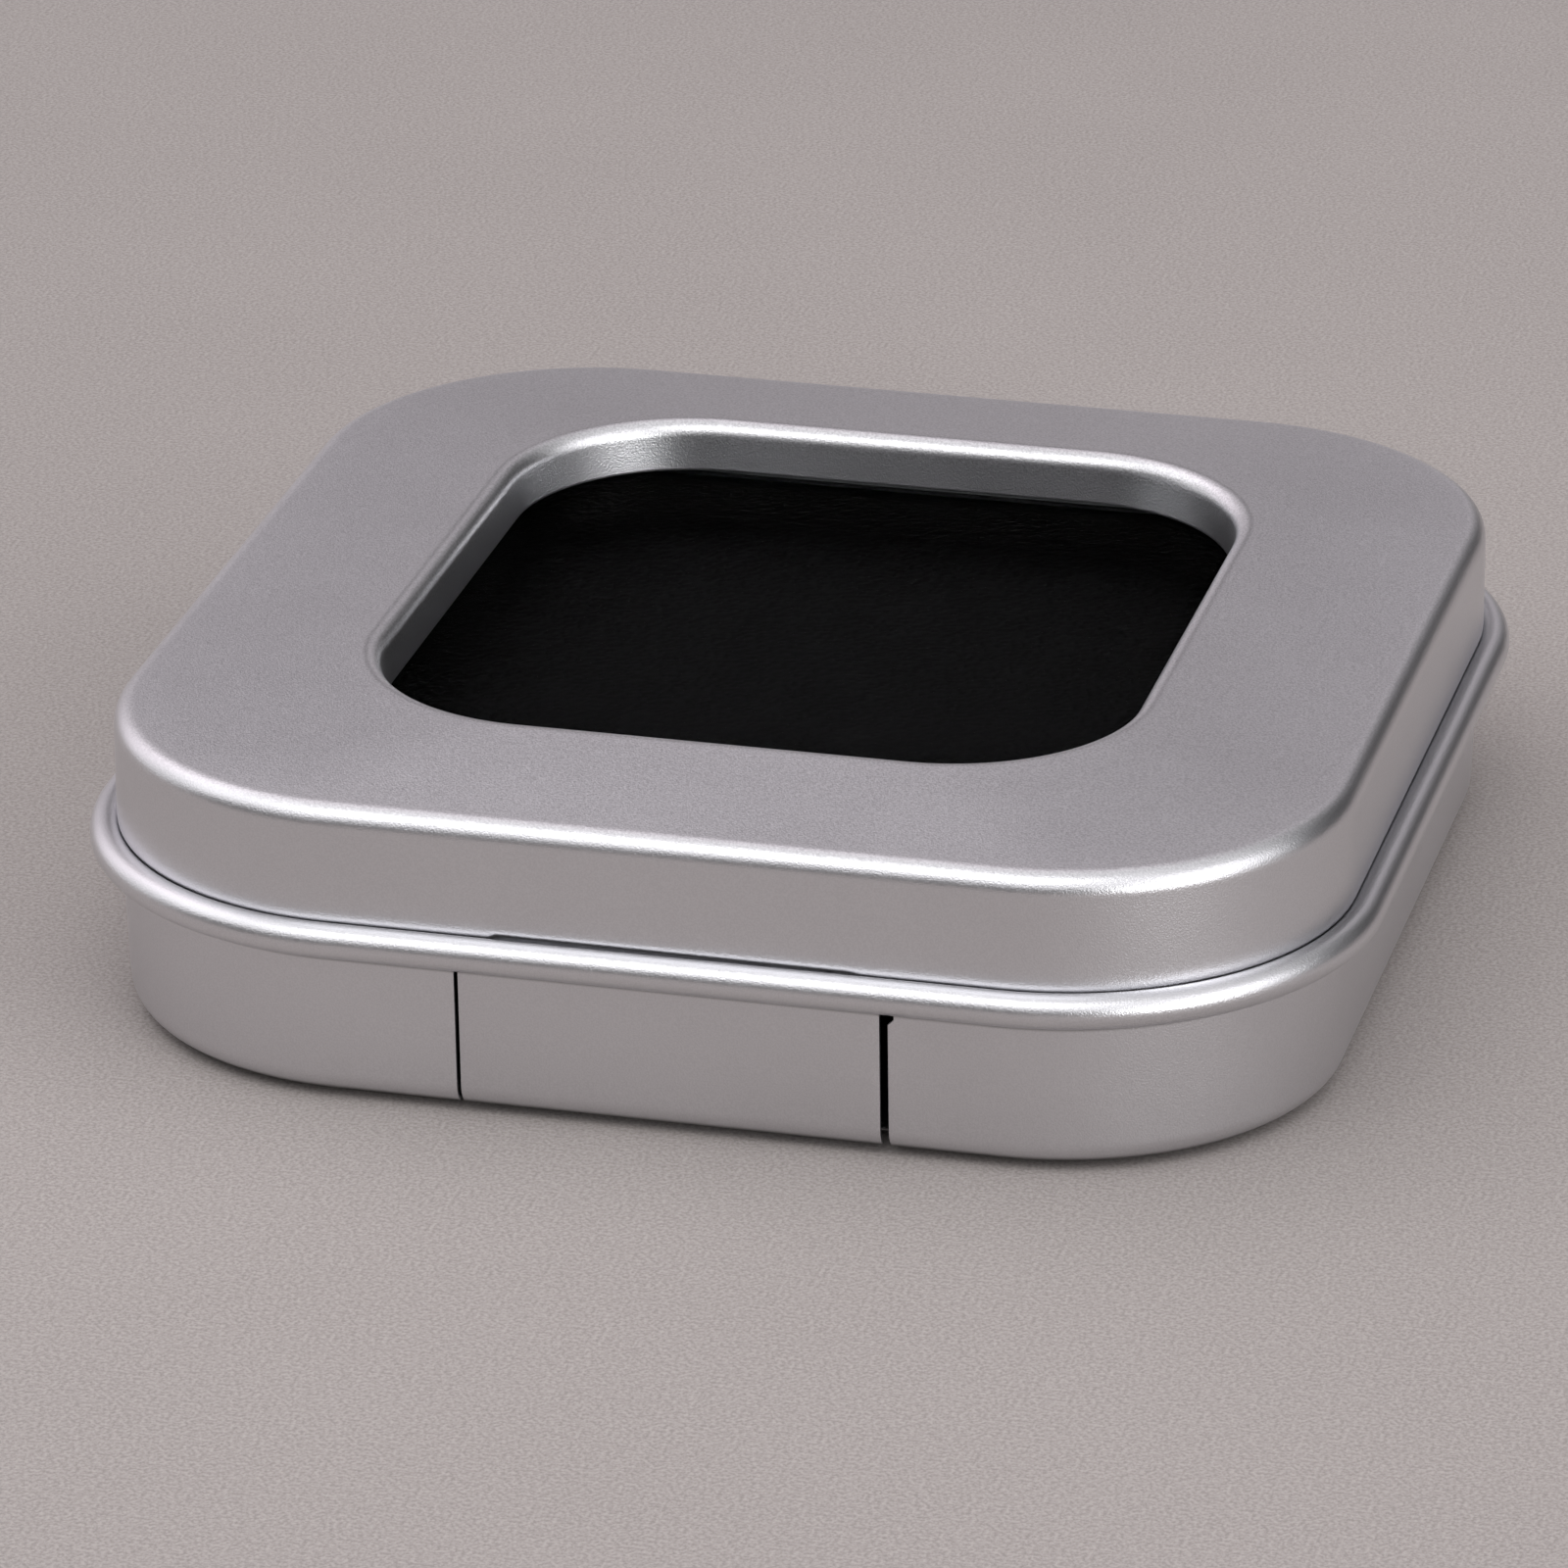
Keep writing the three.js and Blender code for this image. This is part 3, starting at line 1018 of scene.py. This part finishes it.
    def _draw_flap(
        self, bench: Bench, plug_end: float, step_top: float, step_foot: float, bend: float, flap_line: float
    ) -> None:
        """Draw the flap on from the plug's lower edge: a step out below the bead, a straight run and a curl.

        Args:
            bench: the lid on the bench
            plug_end: the plug's lower edge
            step_top: centre height of the upper bend
            step_foot: centre height of the lower bend
            bend: radius of both bends
            flap_line: the flap below its step
        """
        hinge = self.hinge
        low, high = hinge.flap_left - HAIR, hinge.flap_right + HAIR
        bench.pick(lambda p: low < p.x < high and p.y > 0 and abs(p.z - plug_end) < HAIR)
        bench.pen = Vector((0, self.plug_line, plug_end))
        bench.line_to(self.plug_line, step_top)
        bench.arc(self.plug_line + bend, step_top, hinge.step_angle, self.bend_steps // 2)
        bench.arc(flap_line - bend, step_foot, -hinge.step_angle, self.bend_steps // 2)
        foot = self.lines.foot_centre
        bench.line_to(self.lines.wall_foot, foot.z, self.lines.support)
        bench.arc(foot.y, foot.z, -hinge.flap_curl, self.bend_steps // 2)


@dataclass
class WindowPane(Piece):
    """Clear flat sheet under the window lip."""

    node: ClassVar[str] = "window_pane"
    body: ClassVar[Body] = Body.LID
    slot: ClassVar[Slot] = Slot.CLEAR_SHEET

    corner_radius: float = 15.6 * MM
    edge: float = 0.08 * MM
    corner_steps: int = 28
    smooth: float = 20.0

    def build(self) -> bpy.types.Object:
        """Model the pane.

        Returns:
            the finished piece
        """
        low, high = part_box("window_pane")
        bench = Bench("window_pane_clear")
        bench.plate(high, self.corner_radius, low.z, self.corner_steps)
        bench.run(Vector((0, 0, high.z - low.z)))
        return bench.finish([eased(self.edge)], self.smooth)


@dataclass
class WindowGasket(Piece):
    """Tape frame between the pane and the sloping underside of the top panel."""

    node: ClassVar[str] = "window_gasket"
    body: ClassVar[Body] = Body.LID
    slot: ClassVar[Slot] = Slot.TAPE

    tilt: float
    width: float = 3.7 * MM
    corner_radius: float = 15.6 * MM
    edge: float = 0.1 * MM
    corner_steps: int = 28
    smooth: float = 20.0

    def build(self) -> bpy.types.Object:
        """Model the tape frame.

        Returns:
            the finished piece
        """
        low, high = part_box("window_gasket")
        bench = Bench("window_gasket_tape")
        bench.plate(high, self.corner_radius, low.z, self.corner_steps)
        bpy.ops.mesh.inset(thickness=self.width)
        bpy.ops.mesh.delete(type="FACE")
        bpy.ops.mesh.select_all(action="SELECT")
        slope = self.width * math.tan(self.tilt)
        bench.run(Vector((0, 0, high.z - low.z - slope)))
        bench.pick(lambda p: p.z > low.z + HAIR and self._inside(p, high))
        bench.lift(slope)
        return bench.finish([eased(self.edge)], self.smooth)

    def _inside(self, point: Vector, half: Vector) -> bool:
        """Tell if a point is on the frame's inner outline.

        Args:
            point: the point
            half: half the frame's width and length

        Returns:
            whether it is
        """
        past_x = max(abs(point.x) - half.x + self.corner_radius, 0)
        past_y = max(abs(point.y) - half.y + self.corner_radius, 0)
        return math.hypot(past_x, past_y) < self.corner_radius - self.width + HAIR


@dataclass
class FoamPad(Piece):
    """Soft black insert on the floor, with a recess that clears the flap."""

    node: ClassVar[str] = "foam_pad"
    body: ClassVar[Body] = Body.BASE
    slot: ClassVar[Slot] = Slot.FOAM

    lines: TinLines
    hinge: HingeSizes
    swing_clearance: float = 0.9 * MM
    swing_corner: float = 3 * MM
    edge: float = 0.6 * MM
    edge_steps: int = 5
    crown: float = 0.15 * MM
    crown_steps: int = 5
    crown_run: float = 1.2 * MM
    corner_steps: int = 24

    def build(self) -> bpy.types.Object:
        """Model the pad.

        Returns:
            the finished piece
        """
        low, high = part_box("foam_pad")
        half = high.y
        radius = self.lines.corner_radius + half - self.lines.lid_half
        centre = Vector((half - radius, half - radius, 0))
        right = self.hinge.flap_right + self.swing_clearance
        left = self.hinge.flap_left - self.swing_clearance
        curl = Vector((0, math.cos(self.hinge.flap_curl), -math.sin(self.hinge.flap_curl)))
        flap_end = self.lines.foot_centre + self.lines.bottom_radius * curl
        reach = math.hypot(self.lines.hinge.y - flap_end.y, self.lines.hinge.z - flap_end.z)
        bottom = self.lines.hinge.y - reach - self.swing_clearance + self.swing_corner
        small = self.swing_corner
        bench = Bench("foam_pad_black")
        bench.start(Vector((centre.x, half, low.z)))
        bench.run(Vector((right - centre.x, 0, 0)))
        bench.run(Vector((0, bottom - half, 0)))
        bench.bend(Vector((right - small, bottom, 0)), Z_AXIS, -QUARTER, self.corner_steps // 3)
        bench.run(Vector((left + small - bench.pen.x, 0, 0)))
        bench.bend(Vector((left + small, bottom, 0)), Z_AXIS, -QUARTER, self.corner_steps // 3)
        bench.run(Vector((0, half - bottom, 0)))
        bench.run(Vector((-centre.x - left, 0, 0)))
        bench.close_round(centre, self.corner_steps)
        bpy.ops.mesh.edge_face_add()
        bench.run(Vector((0, 0, high.z - low.z - self.crown)))
        bpy.ops.mesh.select_mode(type="FACE")
        for _ in range(self.crown_steps):
            bpy.ops.mesh.inset(thickness=self.crown_run, depth=self.crown / self.crown_steps)
        return bench.finish([eased(self.edge, self.edge_steps)])


def bearing(azimuth: float, elevation: float) -> Vector:
    """Direction from the case to a place in the studio.

    Args:
        azimuth: 0 is straight in front of the -Y side, and it grows towards +X
        elevation: above the floor

    Returns:
        the unit direction
    """
    flat = math.cos(elevation)
    return Vector((math.sin(azimuth) * flat, -math.cos(azimuth) * flat, math.sin(elevation)))


@dataclass(frozen=True)
class PhotoCamera:
    """Camera that stands where the photograph was taken."""

    azimuth: float = math.radians(194.140)
    elevation: float = math.radians(22.910)
    roll: float = math.radians(-0.205)
    distance: float = 642.48 * MM
    target_height: float = 11.30 * MM
    frame_px: float = 1600.0
    focal_px: float = 9323.8
    axis_px: tuple[float, float] = (833.09, 754.46)
    sensor: float = 36.0

    def build(self) -> None:
        """Add the camera and look through it."""
        back = bearing(self.azimuth, self.elevation)
        right = (-back).cross(Z_AXIS).normalized()
        turn = Matrix.Rotation(-self.roll, 3, -back)
        right = turn @ right
        up = right.cross(-back)
        middle = self.frame_px / 2
        aim = -back + right * ((middle - self.axis_px[0]) / self.focal_px)
        aim += up * ((self.axis_px[1] - middle) / self.focal_px)
        aim.normalize()
        right = (right - aim * right.dot(aim)).normalized()
        pose = Matrix((right, right.cross(aim), -aim)).transposed().to_4x4()
        pose.translation = Vector((0, 0, self.target_height)) + back * self.distance
        bpy.ops.object.camera_add()
        camera = bpy.context.active_object
        camera.name = "photo_camera"
        camera.matrix_world = pose
        camera.data.sensor_width = self.sensor
        camera.data.lens = self.focal_px / self.frame_px * self.sensor
        bpy.context.scene.camera = camera


@dataclass(frozen=True)
class Glow:
    """Round patch of the room round one direction, with a soft border."""

    level: float
    azimuth: float
    elevation: float
    inner: float
    outer: float

    def seen(self, sheet: NodeSheet, direction: bpy.types.NodeSocket) -> Value:
        """How much of it is seen in a direction.

        Args:
            sheet: the world's node sheet
            direction: the direction

        Returns:
            its level inside, and nothing outside
        """
        feeds = {0: direction, 1: bearing(self.azimuth, self.elevation)}
        cosine = sheet.value("VectorMath", {"operation": "DOT_PRODUCT"}, feeds, "Value")
        return cosine.over(math.cos(self.outer), math.cos(self.inner)) * self.level


@dataclass(frozen=True)
class SoftBox:
    """Rectangular soft light that faces the case."""

    name: str
    azimuth: float
    elevation: float
    distance: float
    size: tuple[float, float]
    radiance: float

    def hang(self) -> None:
        """Add the light."""
        towards = bearing(self.azimuth, self.elevation)
        bpy.ops.object.light_add(type="AREA", location=towards * self.distance)
        light = bpy.context.active_object
        light.name = self.name
        light.rotation_mode = "QUATERNION"
        light.rotation_quaternion = towards.to_track_quat("Z", "Y")
        light.data.shape = "RECTANGLE"
        light.data.size, light.data.size_y = self.size
        light.data.energy = self.radiance * math.pi * self.size[0] * self.size[1]


@dataclass(frozen=True)
class Studio:
    """Plain card under a wide soft sky, with a pale wall behind the case, two side glows and two soft boxes.

    A small dark card stands where the flat window mirrors the room into the camera.
    """

    camera: PhotoCamera
    floor_half: float = 3.0
    floor_drop: float = 0.02 * MM
    room_glow: float = 0.05
    sky: Glow = Glow(0.84, math.radians(185), math.radians(66), math.radians(50), math.radians(74))
    sky_foot: Step = (math.radians(9), math.radians(33))
    left: Glow = Glow(0.78, math.radians(80), math.radians(30), math.radians(20), math.radians(42))
    right: Glow = Glow(1.35, math.radians(256), math.radians(26), math.radians(15), math.radians(32))
    back: Glow = Glow(0.43, math.radians(31), math.radians(22), math.radians(28), math.radians(52))
    sky_tint: Colour = (1.0, 0.985, 1.0)
    back_tint: Colour = (1.0, 0.925, 0.975)
    card_inner: float = math.radians(6)
    card_outer: float = math.radians(9)
    card_shade: float = 0.985
    key: SoftBox = SoftBox("key_box", math.radians(170), math.radians(58), 0.5, (0.4, 0.3), 1.5)
    side: SoftBox = SoftBox("side_box", math.radians(231), math.radians(11), 1.0, (0.6, 0.4), 3.8)

    def build(self) -> None:
        """Lay the floor and light it."""
        self._lay_floor()
        self._light_room()
        self.key.hang()
        self.side.hang()
        bpy.context.scene.view_settings.view_transform = "Standard"

    def _lay_floor(self) -> None:
        """Lay the card."""
        bpy.ops.object.select_all(action="DESELECT")
        bpy.ops.mesh.primitive_plane_add(size=2 * self.floor_half, location=(0, 0, 0))
        floor = bpy.context.active_object
        floor.name = "paper_floor"
        bpy.ops.object.mode_set(mode="EDIT")
        bpy.ops.transform.translate(value=(0, 0, -self.floor_drop))
        bpy.ops.object.mode_set(mode="OBJECT")
        floor.data.materials.append(PaperFloor().material())

    def _light_room(self) -> None:
        """Let the world glow as the room does."""
        world = bpy.data.worlds.new("studio_room")
        world.use_nodes = True
        bpy.context.scene.world = world
        sheet = NodeSheet(world.node_tree)
        direction = sheet.node("TexCoord", {}, {}).outputs["Generated"]
        mirrored = self.camera.azimuth + math.pi
        card = Glow(self.card_shade, mirrored, self.camera.elevation, self.card_inner, self.card_outer)
        height = sheet.value("SeparateXYZ", {}, {"Vector": direction}, "Z")
        above = height.over(math.sin(self.sky_foot[0]), math.sin(self.sky_foot[1]))
        back = self.back.seen(sheet, direction)
        sides = self.left.seen(sheet, direction) + self.right.seen(sheet, direction)
        glow = self.sky.seen(sheet, direction) * above + sides + back + self.room_glow
        glow = glow * (1 - card.seen(sheet, direction))
        tint = sheet.mix(back * (1 / self.back.level), self.sky_tint, self.back_tint)
        background = sheet.node("Background", {}, {"Color": tint, "Strength": glow})
        sheet.node("OutputWorld", {}, {"Surface": background.outputs["Background"]})


def main() -> None:
    """Model the case, dress it and set up the studio."""
    logging.basicConfig(level=logging.INFO, format="%(name)s: %(message)s")
    lines, hinge = TinLines(), HingeSizes()
    tin = SatinTin().material()
    tray = BaseTray(lines, hinge)
    tray.dress(tray.build(), tin)
    lid = LidShell(lines, hinge)
    lid.dress(lid.build(), tin)
    pane = WindowPane()
    pane.dress(pane.build(), ClearSheet().material())
    gasket = WindowGasket(lid.tilt)
    gasket.dress(gasket.build(), FoamTape().material())
    insert = FoamPad(lines, hinge)
    pad = insert.dress(insert.build(), BlackFoam().material())
    camera = PhotoCamera()
    camera.build()
    Studio(camera).build()


if __name__ == "__main__":
    main()
